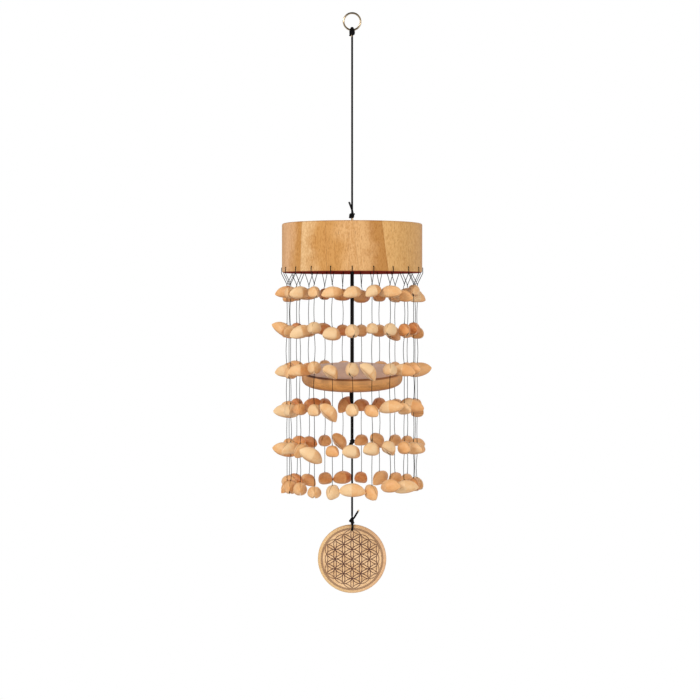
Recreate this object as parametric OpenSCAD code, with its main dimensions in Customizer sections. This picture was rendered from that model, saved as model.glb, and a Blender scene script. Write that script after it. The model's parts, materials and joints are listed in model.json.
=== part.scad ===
// Hanging nut shell chime. A wooden ring on a cord carries strings of split nut shells.
// A wooden striker disc hangs inside the strings, and a wooden wind disc hangs below it.
// The origin is the inside top of the hanging ring, where a hook bears. All heights run down.

/* [Hanging ring] */
// Outside diameter of the metal ring
ring_d = 26.5; // [22:0.5:40]
// Diameter of its wire
ring_wire_d = 2.4; // [1.8:0.1:3]

/* [Main cord] */
// Diameter of the black cord
cord_d = 2.3; // [1.8:0.1:2.6]
// Radius of the small knots on the cord
knot_r = 3.4; // [3:0.1:4]
// Height from the hook down to the top of the wooden ring
hang_h = 298; // [120:2:500]
// Height of the upper knot over the top of the wooden ring
drum_knot_up = 12; // [10:0.5:25]
// Length of the loose cord end at the upper knot
upper_tail_l = 11; // [6:0.5:20]
// Length of the loose cord end at the wind disc
lower_tail_l = 16; // [6:0.5:25]

/* [Wooden ring] */
// Outside diameter of the ring
drum_d = 200; // [190:2:230]
// Height of the ring
drum_h = 70; // [60:1:100]
// Thickness of its wall
drum_wall = 14; // [12:0.5:18]
// Radius of its rounded edges
drum_edge_r = 2.5; // [1:0.5:4]
// Height of the string holes over the lower edge
stitch_up = 7; // [5:0.5:12]
// Diameter of the string holes
stitch_hole_d = 1.8; // [1.6:0.1:2.4]

/* [Crossbar] */
// Diameter of the wooden bar inside the ring
bar_d = 11; // [10:0.5:14]
// Depth of the bar's middle under the top of the ring
bar_drop = 14; // [10:0.5:30]
// Diameter of its hole for the doubled cord
bar_hole_d = 6; // [5.6:0.1:6.5]
// Depth of the pockets that hold its ends
bar_seat = 6; // [4:0.5:8]

/* [Strings] */
// Diameter of a string
string_d = 0.8; // [0.6:0.1:1]
// Diameter of the knots that hold the shells
bead_d = 2; // [1.8:0.1:2.2]
// Height from the lower edge of the wooden ring to the meeting of a string's two legs
leg_drop = 16.5; // [12:0.5:30]

/* [Nut shells] */
// Length of a shell from tip to tip
nut_l = 34; // [30:0.5:34]
// Height and thickness of a shell
nut_d = 19.6; // [18:0.2:20]
// Height from the meeting of the legs to the middle of the first shell
first_drop = 13.1; // [12.8:0.1:20]
// Height from one shell to the next
nut_pitch = 54.5; // [44:0.5:80]
// Width of the slit under a shell
slit_w = 3; // [2.8:0.1:3.6]
// Radius of the slit's curved roof
slit_r = 18; // [17.5:0.5:20]
// Height of the slit's roof over the middle of the shell
slit_up = 4; // [3:0.5:5]
// Diameter of the hole in the shell's top
nut_hole_d = 1.6; // [1.5:0.1:2]

/* [Striker] */
// Diameter of the striker disc
striker_d = 144; // [110:1:146]
// Thickness of the disc
striker_t = 20; // [14:0.5:24]
// Depth of the disc's middle under the top of the wooden ring
striker_drop = 219; // [150:1:240]
// Diameter of its hole for the doubled cord
striker_hole_d = 6.6; // [6:0.1:8]
// Radius of its upper edge
striker_top_edge_r = 1.5; // [0.5:0.5:3]
// Radius of its lower edge
striker_low_edge_r = 9; // [4:0.5:10]
// Angle at which the disc hangs, front edge down
striker_lean = 8; // [0:1:10]

/* [Wind disc] */
// Depth of the lower knot under the middle of the striker
mid_drop = 93; // [60:1:150]
// Height from the lower knot to the middle of the wind disc
wind_drop = 167; // [120:1:220]
// Diameter of the wind disc
wind_d = 98; // [70:1:110]
// Thickness of the wind disc
wind_t = 8; // [6:0.5:9]
// Height of its hole over its middle
wind_hole_up = 41.5; // [28:0.5:42]
// Diameter of its hole
wind_hole_d = 7.4; // [7:0.1:8.5]
// Radius of its rounded edge
wind_edge_r = 2.5; // [1:0.5:3]

/* [Hidden] */
// Strings round the ring, shells on each string, and the angle between strings
strand_count = 21;
row_count = 6;
strand_step = 360 / strand_count;
STRINGS = [for (k = [1 : strand_count]) str("strand_", k < 10 ? "0" : "", k, "_string")];
SHELLS = [for (k = [1 : strand_count]) str("strand_", k < 10 ? "0" : "", k, "_nuts")];

// Clearances: round a moving piece, between the two strands of doubled cord, and cut overrun
gap = 0.3;
pair_gap = 0.1;
over = 1;
// Facets of round pieces and steps of a rounded corner
$fn = 96;
edge_steps = 5;
shell_steps = 7;

// Share of a knot's radius by which its two balls stand apart
knot_stretch_share = 0.35;
// Power that draws the shell's outline from its middle to its tips
shell_fullness_share = 0.62;
// Share of a knot's radius that a loop or tail reaches into it
knot_bite_share = 0.5;
// Radius of a string's bends as a share of its diameter
bend_share = 0.62;
// Angles of the loose cord ends from upright
upper_tail_lean = 19;
lower_tail_lean = 32;

// Levels of the hanging ring and the joint under it
ring_mid_r = (ring_d - ring_wire_d) / 2;
ring_z = -(ring_mid_r - ring_wire_d / 2);
wire_z = ring_z - ring_mid_r;
tie_r = (ring_wire_d + cord_d) / 2 + gap;
knot_half = knot_r * (1 + knot_stretch_share);
ring_knot_z = wire_z - tie_r - knot_half;
sway_z = ring_knot_z - knot_half - gap - cord_d / 2;

// Levels of the wooden ring, its knots and its crossbar
drum_z = -hang_h;
drum_low_z = drum_z - drum_h;
drum_r = drum_d / 2;
drum_in_r = drum_r - drum_wall;
upper_knot_z = drum_z + drum_knot_up;
bar_z = drum_z - bar_drop;
bar_knot_z = bar_z - bar_d / 2 - gap - knot_half;
pair_pitch = cord_d + pair_gap;
pair_end_r = pair_pitch / 2 + cord_d / 2 + gap;
clap_z = bar_knot_z - knot_half - gap - pair_end_r;

// Levels of the striker and the lower knot
striker_z = drum_z - striker_drop;
striker_knot_z = striker_z - knot_r * knot_stretch_share
    - (striker_t / 2 + knot_r + gap) / cos(striker_lean);
lower_knot_z = striker_z - mid_drop;
swing_z = lower_knot_z - knot_half - gap - cord_d / 2;

// Levels of the wind disc, its loop and its knot
wind_z = lower_knot_z - wind_drop;
wind_hole_z = wind_z + wind_hole_up;
bridge_h = wind_d / 2 - wind_hole_up - wind_hole_d / 2;
bridge_z = wind_z + wind_d / 2 - bridge_h / 2;
loop_r = norm([wind_t / 2, bridge_h / 2]) + gap + cord_d / 2;
wind_knot_z = bridge_z + loop_r + knot_r * (1 - knot_bite_share) + knot_r * knot_stretch_share;
turn_z = wind_knot_z + knot_half + gap + cord_d / 2;

// Places of the strings: middle of the ring's wall
strand_r = drum_r - drum_wall / 2;
stitch_z = drum_low_z + stitch_up;
leg_z = drum_low_z - leg_drop;
leg_stand = string_d / 2 + gap;
string_end_r = bead_d / 4;
string_top_z = leg_z - bead_d / 2 - gap - string_end_r;

// How each shell sits, string by string from the front round to the right, row by row.
// Turn of the shell's long axis from straight across, seen from above
shell_turns = [
    [38, -80, 75, -70, 45, -6],
    [43, 65, 34, -55, 50, -64],
    [-22, 72, 90, -20, 60, -40],
    [-38, -70, -18, -62, -65, 0],
    [84, -76, -60, -12, -48, -70],
    [38, -62, 0, -62, 42, -62],
    [44, 44, 44, 54, 36, 52],
    [32, 64, 58, 41, 74, 66],
    [62, 44, 70, 50, 70, 60],
    [60, 50, 44, 72, 50, 50],
    [42, 65, 40, 45, 56, 62],
    [42, 56, 46, 40, 42, 34],
    [74, -36, 64, 84, 74, -55],
    [-30, -52, -35, -30, -45, -46],
    [-62, -74, -40, -78, -50, -50],
    [-58, -48, -56, -44, -58, -46],
    [5, 0, 0, 0, 0, 44],
    [80, 58, 82, 85, 40, 86],
    [30, 10, 5, 86, 55, -88],
    [-75, 80, 90, -70, 18, 90],
    [8, 45, 50, 36, -60, 70]];
// Angle by which the right hand tip of the shell stands up
shell_tilts = [
    [6, 0, 0, 0, -10, 0],
    [15, 0, -42, -10, -8, -18],
    [3, 0, 0, 8, -25, 5],
    [-8, 0, -5, 5, 0, 8],
    [0, 0, 0, -12, 0, 0],
    [0, 0, 12, 0, 0, 0],
    [6, -8, 0, 0, 10, 0],
    [0, 12, -8, 6, 0, -10],
    [-10, -28, 0, 8, 0, 6],
    [0, 0, 8, 0, -30, 15],
    [0, 0, -6, 0, 0, -10],
    [0, 0, 10, 35, -42, 0],
    [0, -10, 0, 0, 0, 8],
    [8, 12, 0, 25, 0, -12],
    [0, 0, -8, 0, 20, -15],
    [0, 8, 0, -6, 0, 0],
    [0, -35, 0, -8, -15, 20],
    [0, 0, 0, 0, 6, 0],
    [0, 14, 0, 0, 20, 0],
    [0, 0, 0, 0, -28, 0],
    [3, -5, -25, -38, 0, 14]];
// Size of the shell as a share of the full size
shell_size_shares = [
    [0.92, 1, 1, 0.97, 1, 1.03],
    [0.87, 0.88, 0.95, 0.93, 1.01, 1],
    [0.93, 0.97, 0.95, 1.02, 1, 0.98],
    [0.92, 0.95, 0.95, 0.95, 0.98, 1.04],
    [0.9, 0.95, 0.98, 0.97, 0.95, 1],
    [0.87, 0.93, 1.04, 0.95, 0.92, 0.9],
    [0.9, 0.95, 0.92, 0.95, 0.95, 0.92],
    [0.95, 0.95, 0.92, 0.98, 0.95, 0.96],
    [0.95, 1, 0.95, 0.94, 0.95, 1],
    [0.95, 0.95, 1, 1.04, 1, 1.04],
    [1, 0.95, 0.96, 1, 0.98, 1],
    [0.98, 0.95, 1, 0.98, 0.96, 1],
    [0.94, 0.98, 0.95, 0.95, 0.98, 1],
    [0.92, 0.95, 1, 1, 0.98, 0.96],
    [0.9, 0.94, 0.98, 0.94, 1, 1],
    [0.95, 0.92, 0.95, 0.96, 0.93, 0.95],
    [0.95, 1, 0.97, 1.02, 1.04, 0.9],
    [0.92, 0.93, 0.97, 0.95, 0.98, 1],
    [0.94, 0.98, 0.98, 0.95, 0.97, 1],
    [0.9, 0.95, 0.95, 0.95, 1.04, 0.95],
    [0.87, 1, 0.95, 1, 0.92, 1]];
// Depth of the shell under its row as a share of its height
shell_drop_shares = [
    [0, -0.05, -0.15, -0.07, 0.05, 0],
    [-0.12, -0.2, -0.05, 0, -0.1, 0.15],
    [-0.05, -0.15, -0.1, -0.25, -0.15, -0.25],
    [0.25, -0.12, -0.05, -0.05, -0.08, -0.05],
    [-0.15, -0.2, -0.1, -0.25, 0.05, -0.08],
    [0.35, 0.15, 0, 0.25, 0.2, 0],
    [0.2, 0, 0.1, -0.15, 0, 0.05],
    [0.05, 0.1, 0, -0.1, -0.1, -0.05],
    [0.25, 0.15, 0, 0, -0.1, 0],
    [0.2, 0, 0, 0, -0.1, 0],
    [0.2, 0, 0.05, 0.1, 0, 0.05],
    [0.1, 0, 0, 0, 0, 0],
    [0.05, -0.1, -0.1, 0, 0, 0.05],
    [0.05, 0, 0.1, 0, 0.05, 0.1],
    [0.1, -0.15, -0.1, -0.1, -0.05, 0],
    [0.3, 0.1, 0, 0.05, 0, -0.05],
    [-0.05, -0.12, 0.1, 0.25, 0.25, 0.15],
    [0, 0, 0.2, 0.15, 0.1, 0.1],
    [0, 0, 0, 0, 0.12, 0.1],
    [0, -0.25, -0.25, 0, 0.35, 0.25],
    [0, 0.13, 0, 0.05, 0.08, 0.15]];

function shell_scale(k, row) = shell_size_shares[k][row];
function shell_tilt(k, row) = shell_tilts[k][row];
function shell_z(k, row) =
    leg_z - first_drop - row * nut_pitch - shell_drop_shares[k][row] * nut_d;
// Where the string passes the top of a shell
function shell_top_z(k, row) =
    shell_z(k, row) + nut_d / 2 * shell_scale(k, row) * cos(shell_tilt(k, row));
// Depth under a shell's top at which a knot fits beneath the slit's roof
function roof_depth(size, tilt, room) =
    let (reach = (nut_d / 2 + slit_r - slit_up) * size, free = slit_r * size - room)
    reach * cos(tilt) - sqrt(free * free - pow(reach * sin(tilt), 2));
function upper_bead_z(k, row) =
    shell_top_z(k, row) + (bead_d / 2 + gap) / cos(shell_tilt(k, row));
function lower_bead_z(k, row) =
    shell_top_z(k, row) - roof_depth(shell_scale(k, row), shell_tilt(k, row), bead_d / 2 + gap);

// Points of a rounded corner round [x, y], from angle a to angle b
function corner(x, y, r, a, b) =
    [for (i = [0 : edge_steps])
        let (t = a + (b - a) * i / edge_steps) [x + r * cos(t), y + r * sin(t)]];

module rod(a, b, r) {
    d = b - a;
    translate(a)
        rotate([0, acos(d[2] / norm(d)), atan2(d[1], d[0])])
            cylinder(r = r, h = norm(d));
}

module knot(z) {
    for (side = [-1, 1])
        translate([0, 0, z + side * knot_r * knot_stretch_share]) sphere(r = knot_r);
}

module cord_pair(top_z, low_z) {
    for (side = [-1, 1])
        translate([side * pair_pitch / 2, 0, low_z])
            cylinder(d = cord_d, h = top_z - low_z);
}

module at_strand(k) {
    rotate([0, 0, k * strand_step]) translate([0, -strand_r, 0]) children();
}

module hang_ring() {
    color("#b08a4a")
        translate([0, 0, ring_z])
            rotate([90, 0, 0])
                rotate_extrude() translate([ring_mid_r, 0]) circle(d = ring_wire_d);
}

module ring_knot() {
    color("#1b1b1c") {
        translate([0, 0, wire_z])
            rotate([0, 90, 0]) rotate_extrude() translate([tie_r, 0]) circle(d = cord_d);
        knot(ring_knot_z);
    }
}

module suspension_cord() {
    color("#1b1b1c") {
        translate([0, 0, upper_knot_z + knot_half])
            cylinder(d = cord_d, h = sway_z - upper_knot_z - knot_half);
        translate([0, 0, sway_z]) sphere(d = cord_d + pair_gap);
    }
}

// The knot over the wooden ring, with its loose end and the two strands that go down to the bar
module upper_knot() {
    tail = [-knot_r * knot_bite_share, 0, upper_knot_z];
    color("#1b1b1c") {
        knot(upper_knot_z);
        rod(tail, tail + upper_tail_l * [-sin(upper_tail_lean), 0, cos(upper_tail_lean)], cord_d / 2);
        cord_pair(upper_knot_z, bar_z - bar_d / 2);
    }
}

module bar_knot() {
    color("#1b1b1c") knot(bar_knot_z);
}

module wooden_ring() {
    edge = drum_edge_r;
    half = drum_h / 2;
    color("#c58a5c")
        difference() {
            translate([0, 0, drum_z - half])
                rotate_extrude()
                    polygon(concat(
                        corner(drum_r - edge, half - edge, edge, 0, 90),
                        corner(drum_in_r + edge, half - edge, edge, 90, 180),
                        corner(drum_in_r + edge, edge - half, edge, 180, 270),
                        corner(drum_r - edge, edge - half, edge, 270, 360)));
            for (k = [0 : strand_count - 1])
                at_strand(k)
                    translate([0, 0, stitch_z])
                        rotate([90, 0, 0])
                            cylinder(d = stitch_hole_d, h = drum_wall + 2 * over, center = true);
            for (side = [-1, 1])
                translate([side * (drum_in_r + bar_seat / 2 - over / 2), 0, bar_z])
                    rotate([0, 90, 0])
                        cylinder(d = bar_d + 2 * pair_gap, h = bar_seat + over, center = true);
        }
}

module crossbar() {
    color("#b98252")
        difference() {
            translate([0, 0, bar_z])
                rotate([0, 90, 0])
                    cylinder(d = bar_d, h = 2 * (drum_in_r + bar_seat - gap), center = true);
            translate([0, 0, bar_z]) cylinder(d = bar_hole_d, h = bar_d + 2 * over, center = true);
        }
}

// The loop that ties one string to the wall: through the hole, and down both faces to a knot
module rim_loop() {
    out_y = -drum_wall / 2 - leg_stand;
    low_z = drum_low_z - leg_stand;
    route = [[0, 0, leg_z], [0, out_y, low_z], [0, out_y, stitch_z],
        [0, -out_y, stitch_z], [0, -out_y, low_z], [0, 0, leg_z]];
    for (i = [0 : len(route) - 2]) rod(route[i], route[i + 1], string_d / 2);
    for (i = [1 : len(route) - 2]) translate(route[i]) sphere(r = string_d * bend_share);
    translate([0, 0, leg_z]) sphere(d = bead_d);
}

module rim_loops() {
    color("#3a3634")
        for (k = [0 : strand_count - 1]) at_strand(k) rim_loop();
}

module clapper_cord() {
    color("#1b1b1c") {
        cord_pair(clap_z, striker_knot_z + knot_half);
        translate([0, 0, clap_z]) sphere(r = pair_end_r);
    }
}

module striker_disc() {
    half = striker_t / 2;
    top_edge = striker_top_edge_r;
    low_edge = striker_low_edge_r;
    rim_r = striker_d / 2;
    color("#c58f58")
        difference() {
            translate([0, 0, striker_z])
                rotate([striker_lean, 0, 0])
                    rotate_extrude()
                        polygon(concat([[0, -half]],
                            corner(rim_r - low_edge, low_edge - half, low_edge, -90, 0),
                            corner(rim_r - top_edge, half - top_edge, top_edge, 0, 90),
                            [[0, half]]));
            translate([0, 0, striker_z])
                cylinder(d = striker_hole_d, h = 2 * striker_t, center = true);
        }
}

module striker_knot() {
    color("#1b1b1c") {
        knot(striker_knot_z);
        cord_pair(striker_knot_z, lower_knot_z + knot_half);
    }
}

module lower_knot() {
    color("#1b1b1c") knot(lower_knot_z);
}

module wind_cord() {
    color("#1b1b1c") {
        translate([0, 0, turn_z]) cylinder(d = cord_d, h = swing_z - turn_z);
        for (end_z = [turn_z, swing_z])
            translate([0, 0, end_z]) sphere(d = cord_d + pair_gap);
    }
}

// The knot over the wind disc, its loose end, and the loop through the disc's hole
module wind_loop() {
    tail = [knot_r * knot_bite_share, 0, wind_knot_z];
    color("#1b1b1c") {
        knot(wind_knot_z);
        rod(tail, tail + lower_tail_l * [sin(lower_tail_lean), 0, cos(lower_tail_lean)], cord_d / 2);
        translate([0, 0, bridge_z])
            rotate([0, 90, 0]) rotate_extrude() translate([loop_r, 0]) circle(d = cord_d);
    }
}

module wind_disc() {
    edge = wind_edge_r;
    half = wind_t / 2;
    color("#d9ab7c")
        difference() {
            translate([0, 0, wind_z])
                rotate([90, 0, 0])
                    rotate_extrude()
                        polygon(concat([[0, -half]],
                            corner(wind_d / 2 - edge, edge - half, edge, -90, 0),
                            corner(wind_d / 2 - edge, half - edge, edge, 0, 90),
                            [[0, half]]));
            translate([0, 0, wind_hole_z])
                rotate([90, 0, 0])
                    cylinder(d = wind_hole_d, h = wind_t + 2 * over, center = true);
        }
}

// One shell of full size: its long axis along X, its middle at the origin, its slit below
module nut_shell(size) {
    steps = [for (i = [-shell_steps : shell_steps]) sin(90 * i / shell_steps)];
    difference() {
        rotate([0, 90, 0])
            rotate_extrude()
                polygon([for (u = steps)
                    size * [nut_d / 2 * pow(1 - u * u, shell_fullness_share), nut_l / 2 * u]]);
        translate([0, 0, (slit_up - slit_r) * size])
            rotate([90, 0, 0]) cylinder(r = slit_r * size, h = slit_w * size, center = true);
    }
}

module strand_nuts(k) {
    color("#dba874")
        at_strand(k)
            for (row = [0 : row_count - 1])
                difference() {
                    translate([0, 0, shell_top_z(k, row)])
                        rotate([0, 0, shell_turns[k][row] - k * strand_step])
                            rotate([0, -shell_tilt(k, row), 0])
                                translate([0, 0, -nut_d / 2 * shell_scale(k, row)])
                                    nut_shell(shell_scale(k, row));
                    translate([0, 0, lower_bead_z(k, row)]) cylinder(d = nut_hole_d, h = nut_d);
                }
}

module strand_string(k) {
    low_z = lower_bead_z(k, row_count - 1);
    color("#3a3634")
        at_strand(k) {
            translate([0, 0, low_z]) cylinder(d = string_d, h = string_top_z - low_z);
            translate([0, 0, string_top_z]) sphere(r = string_end_r);
            for (row = [0 : row_count - 1]) {
                if (row > 0) translate([0, 0, upper_bead_z(k, row)]) sphere(d = bead_d);
                translate([0, 0, lower_bead_z(k, row)]) sphere(d = bead_d);
            }
        }
}

hang_ring();
ring_knot();
suspension_cord();
upper_knot();
wooden_ring();
crossbar();
rim_loops();
bar_knot();
clapper_cord();
striker_disc();
striker_knot();
lower_knot();
wind_cord();
wind_loop();
wind_disc();
for (k = [0 : strand_count - 1]) {
    strand_string(k);
    strand_nuts(k);
}
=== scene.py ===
"""Looks of a hanging nut shell chime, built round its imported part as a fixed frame."""
import json
import math

import bmesh
import bpy
import numpy as np
from bpy.props import FloatProperty, FloatVectorProperty, PointerProperty
from mathutils import Euler, Matrix, Vector

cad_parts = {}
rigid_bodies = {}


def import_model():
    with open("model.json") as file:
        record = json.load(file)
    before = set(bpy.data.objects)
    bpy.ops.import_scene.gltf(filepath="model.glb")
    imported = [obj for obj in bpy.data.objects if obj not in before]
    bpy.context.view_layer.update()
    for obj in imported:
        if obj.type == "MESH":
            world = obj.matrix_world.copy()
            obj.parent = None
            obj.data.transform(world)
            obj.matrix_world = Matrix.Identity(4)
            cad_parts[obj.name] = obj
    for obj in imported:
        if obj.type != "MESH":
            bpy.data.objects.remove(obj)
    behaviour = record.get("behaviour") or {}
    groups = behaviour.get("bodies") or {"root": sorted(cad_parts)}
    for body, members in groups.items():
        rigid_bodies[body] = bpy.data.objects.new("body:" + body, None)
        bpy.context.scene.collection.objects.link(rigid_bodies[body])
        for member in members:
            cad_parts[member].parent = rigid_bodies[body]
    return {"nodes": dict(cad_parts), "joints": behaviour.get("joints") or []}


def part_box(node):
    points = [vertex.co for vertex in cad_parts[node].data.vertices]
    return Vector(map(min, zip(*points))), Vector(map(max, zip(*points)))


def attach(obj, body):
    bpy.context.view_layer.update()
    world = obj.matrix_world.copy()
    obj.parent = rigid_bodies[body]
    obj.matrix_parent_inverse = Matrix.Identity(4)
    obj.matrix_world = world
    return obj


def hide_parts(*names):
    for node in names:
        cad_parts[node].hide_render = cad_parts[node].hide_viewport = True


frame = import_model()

bl_info = {
    "name": "Nut Shell Chime",
    "version": (1, 0, 0),
    "blender": (4, 5, 0),
    "location": "3D View > Sidebar > Chime",
    "description": "Builds the visible pieces of a hanging nut shell chime",
    "category": "Object",
}


def joint_place(name):
    """Where a joint of the frame sits."""
    return next(Vector(joint["pos_m"]) for joint in frame["joints"] if joint["name"] == name)


def middle(node):
    """Middle of a CAD node's box."""
    low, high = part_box(node)
    return (low + high) / 2


# Sizes and places

MM = 0.001
GAP = 0.3 * MM
STRANDS = 21
ROWS = 6
STEP = 2 * math.pi / STRANDS
RING_LOW, RING_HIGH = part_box("hang_ring")
DRUM_LOW, DRUM_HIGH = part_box("wooden_ring")
WIND_LOW, WIND_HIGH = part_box("wind_disc")
WIND_MIDDLE = middle("wind_disc")
DRUM_WALL = 14 * MM

LENS = 87.2
SENSOR = 36
CAMERA_REACH = 20
CAMERA_PLACE = (-3 * MM, -2421 * MM, -423 * MM)
CAMERA_TILT = math.radians(90 - 1.302)
FLOOR_R = 1.7
FLOOR_Z = -1.55
AMBIENT = 0.62
LAMP_AIM = Vector((0, 0, -0.42))
# Name, place, width, power and colour of each lamp
LAMPS = [
    ("key lamp", (-1.5, -2.0, 0.8), 0.8, 40, (1, 0.98, 0.95)),
    ("fill lamp", (1.7, -1.8, -0.2), 1.6, 15, (1, 1, 1)),
    ("back lamp", (0.4, 1.8, 0.8), 1.6, 10, (1, 1, 1)),
]

# Tones of the glued staves from the one left of the front round to the right: left and right half
STAVES = [("pale", "gold"), ("gold", "peach"), ("peach", "brown"), ("tan", "tan"), ("tan", "tan"),
          ("pink", "tan"), ("pale", "tan"), ("gold", "brown"), ("tan", "pale"), ("brown", "gold"),
          ("tan", "tan"), ("pale", "peach"), ("gold", "tan"), ("tan", "pink"), ("pink", "gold")]
FIRST_SEAM = math.radians(-45)

# How far the metal ring passes the radius of its solid
RING_ROOM = 0.15 * MM
# Thickness of the loops through the wooden ring, in strings
LOOP_SHARE = 1.1
STRIKER_LEAN = math.radians(8)
STRIKER_HALF = 10 * MM

# Half the space between the strands of the doubled cord, in mm
PAIR_HALF = 1.2
# The rounded end of a cord: steps along it from its last point and widths there, in radii
ROUND_END = [(-0.97, 0.25), (-0.7, 0.71), (-0.3, 0.95)]

# Each style of shell in mm: reach below and to the side, droop of both tips and lift of one of them.
# The last number is the power that curves its back
SHELL_STYLES = [dict(zip(("low", "wide", "tip", "bend", "full"), row)) for row in (
    (7.7, 9.4, 1.6, 0.0, 0.66), (6.5, 9.7, 2.2, 0.5, 0.60), (8.3, 9.1, 1.0, -0.4, 0.72),
    (5.9, 9.5, 2.6, 0.2, 0.64), (7.3, 9.2, 1.8, -0.7, 0.58), (6.9, 9.8, 1.3, 0.8, 0.70))]
SHELL_GROWTH = 1.06
SHELL_HALF = 8 * MM
# The least drop from one shell's points to the next one's
SHELL_GAP = 8 * MM
# The ridge's angle from the top of the back
SHELL_RIDGE = 0.62
STRING_BOW = 1.5 * MM
INNER_KNOT_DROP = 6.4 * MM
# Pale, orange and russet tones, listed: for each strand, its rows from the top, all counted from 0
SET_TONES = [
    (0.05, {0: (1, 2, 3, 5), 1: (2,), 2: (1, 2, 3), 3: (5,), 4: (4,), 16: (3,), 17: (3,), 18: (1,),
            19: (1, 3, 4), 20: (5,)}),
    (0.74, {3: (1,), 4: (5,), 10: (0,), 12: (1, 4, 5), 13: (2, 4), 14: (4,), 16: (0, 5), 18: (3,)}),
    (0.94, {4: (1,), 9: (0, 3), 10: (3, 5), 11: (0, 1, 3, 5), 12: (0, 3), 13: (3,), 14: (1, 3, 5)}),
]

# The wind disc's flat front, rounded edges and hole. Radii of its burnt ring and depths are in mm
FLAT_R = 45.2 * MM
FRONT_ROUND = 2.6 * MM
BACK_ROUND = 2 * MM
FRONT_RINGS = 136
HOLE_D = 5.1 * MM
HOLE_SQUEEZE = 0.62
HOLE_UP = 42.45 * MM
BAND = (42.0, 44.8)
LINE_DEPTH = 0.35
BAND_DEPTH = 0.25
# What counts as the distance to a line, off the pattern
OFF_PATTERN = 3.0


# Node trees

class Value:
    """A node's output. Arithmetic on it adds math nodes to its tree."""

    def __init__(self, socket):
        self.socket = socket
        self.tree = socket.id_data

    def __add__(self, other):
        return calc("ADD", self, other)

    def __sub__(self, other):
        return calc("SUBTRACT", self, other)

    def __rsub__(self, other):
        return calc("SUBTRACT", other, self)

    def __mul__(self, other):
        return calc("MULTIPLY", self, other)

    def __truediv__(self, other):
        return calc("DIVIDE", self, other)

    def __abs__(self):
        return calc("ABSOLUTE", self)

    def spread(self, low, high, to_low=0.0, to_high=1.0):
        """The value's range mapped smoothly onto another range."""
        return result(self.tree, "ShaderNodeMapRange", {0: self, 1: low, 2: high, 3: to_low, 4: to_high},
                      interpolation_type="SMOOTHSTEP")

    def vector(self, operation, other):
        """Output of a vector math node on this vector and another."""
        return result(self.tree, "ShaderNodeVectorMath", {0: self, 1: other}, operation=operation)

    def parts(self):
        """X, Y and Z of a vector."""
        return [Value(part) for part in add_node(self.tree, "ShaderNodeSeparateXYZ", {0: self}).outputs]


def feed(socket, value):
    """Links a node's output to an input, or sets the input to a plain value or colour."""
    if isinstance(value, Value):
        value.tree.links.new(value.socket, socket)
    elif socket.type == "RGBA":
        socket.default_value = (*value, 1)
    else:
        socket.default_value = value


def add_node(tree, kind, inputs=None, **settings):
    """Adds a node, sets its properties, and feeds its inputs."""
    node = tree.nodes.new(kind)
    for name, value in settings.items():
        setattr(node, name, value)
    for key, value in (inputs or {}).items():
        feed(node.inputs[key], value)
    return node


def result(tree, kind, inputs=None, output=0, **settings):
    """One output of a new node, the first unless another is named."""
    return Value(add_node(tree, kind, inputs, **settings).outputs[output])


def tree_of(*values):
    """Tree of the first node's output among some values."""
    return next(value.tree for value in values if isinstance(value, Value))


def calc(operation, *values):
    """Output of a math node."""
    return result(tree_of(*values), "ShaderNodeMath", dict(enumerate(values)), operation=operation)


def far_out(first, second):
    """Distance from an axis, from the two coordinates across it."""
    return calc("SQRT", first * first + second * second)


def blend(share, first, second, mode="MIX"):
    """Output of a colour mix node."""
    return result(tree_of(share, first, second), "ShaderNodeMix", {0: share, 6: first, 7: second}, 2,
                  data_type="RGBA", blend_type=mode)


def layered(colour, *layers):
    """A colour with others laid over it, each by its own share."""
    for share, tint in layers:
        colour = blend(share, colour, tint)
    return colour


def noise(vector, scale, detail=4.0, roughness=0.55):
    """Output of a noise texture."""
    return result(vector.tree, "ShaderNodeTexNoise",
                  {"Vector": vector, "Scale": scale, "Detail": detail, "Roughness": roughness})


def joined(tree, *parts):
    """A vector joined from its three parts."""
    return result(tree, "ShaderNodeCombineXYZ", dict(enumerate(parts)))


def object_place(tree):
    """Object coordinates of the piece itself."""
    return result(tree, "ShaderNodeTexCoord", output="Object")


def attribute(tree, name, output="Fac"):
    """An attribute that a piece's mesh carries."""
    return result(tree, "ShaderNodeAttribute", output=output, attribute_name=name)


def tone_ramp(share, stops, interpolation="LINEAR"):
    """Output of a colour ramp with the given positions and colours."""
    ramp = add_node(share.tree, "ShaderNodeValToRGB", {0: share})
    ramp.color_ramp.interpolation = interpolation
    for number, (at, tint) in enumerate(stops):
        stop = ramp.color_ramp.elements[number] if number < 2 else ramp.color_ramp.elements.new(1.0)
        stop.position = at
        stop.color = (*tint, 1)
    return Value(ramp.outputs[0])


def new_group(kind, name, inputs, outputs):
    """A node group with named sockets: its tree, its given values, and the inputs of its output node."""
    group = bpy.data.node_groups.new(name, kind)
    for way, sockets in (("INPUT", inputs), ("OUTPUT", outputs)):
        for label, socket, *default in sockets:
            made = group.interface.new_socket(label, in_out=way, socket_type="NodeSocket" + socket)
            if default:
                made.default_value = default[0]
    given = [Value(socket) for socket in group.nodes.new("NodeGroupInput").outputs[:len(inputs)]]
    return group, given, group.nodes.new("NodeGroupOutput").inputs


def placed_group(tree, name, **inputs):
    """Both outputs of a shared node group, placed with its own values."""
    node = add_node(tree, "ShaderNodeGroup", inputs, node_tree=bpy.data.node_groups[name])
    return [Value(socket) for socket in node.outputs]


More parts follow.
